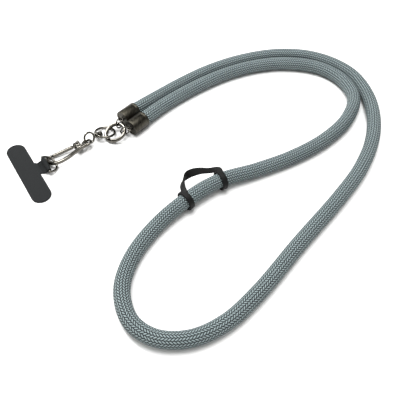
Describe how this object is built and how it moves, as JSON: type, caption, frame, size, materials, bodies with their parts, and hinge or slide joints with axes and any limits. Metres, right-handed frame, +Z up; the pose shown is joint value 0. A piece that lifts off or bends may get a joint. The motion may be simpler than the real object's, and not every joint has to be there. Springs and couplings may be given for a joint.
{
  "type": "phone crossbody strap",
  "caption": "Long braided round rope strap with metal end caps, rings, a swivel, a lobster hook and a flat patch that a phone case holds.",
  "frame": {"origin": "on the surface that the strap lies on, under the middle of the box round the hardware, without the rope and its keeper", "axes": "+Z up from the surface, +X to the right in the picture, +Y away from its camera"},
  "size_m": [0.276, 0.2616, 0.014],
  "materials": {
    "rope": "fine herringbone braid of pale blue-grey polyester yarn, matt",
    "end_cap": "brushed gunmetal plating, warm dark grey",
    "hardware": "polished black-nickel plating",
    "tab": "charcoal coated fabric, matt, with a fine grain",
    "keeper": "matt black silicone"
  },
  "bodies": {
    "strap": {"rope": "rope", "end_cap_near": "end_cap", "end_cap_far": "end_cap", "cap_link_near": "hardware", "cap_link_far": "hardware", "big_ring": "hardware", "swivel_bow": "hardware", "swivel_loop": "hardware", "hook": "hardware", "tab_ring": "hardware", "tab": "tab", "keeper": "keeper"},
    "gate": {"hook_gate": "hardware"}
  },
  "joints": [
    {"name": "hook_gate_hinge", "type": "hinge", "parent": "strap", "child": "gate", "pos_m": [-0.0009, 0.00541, 0.0032], "axis": [-0.1914, 0.1738, 0.966], "range_deg": [0, 15], "stiffness_Nm_per_rad": 0.01, "springref_deg": -20.05}
  ]
}
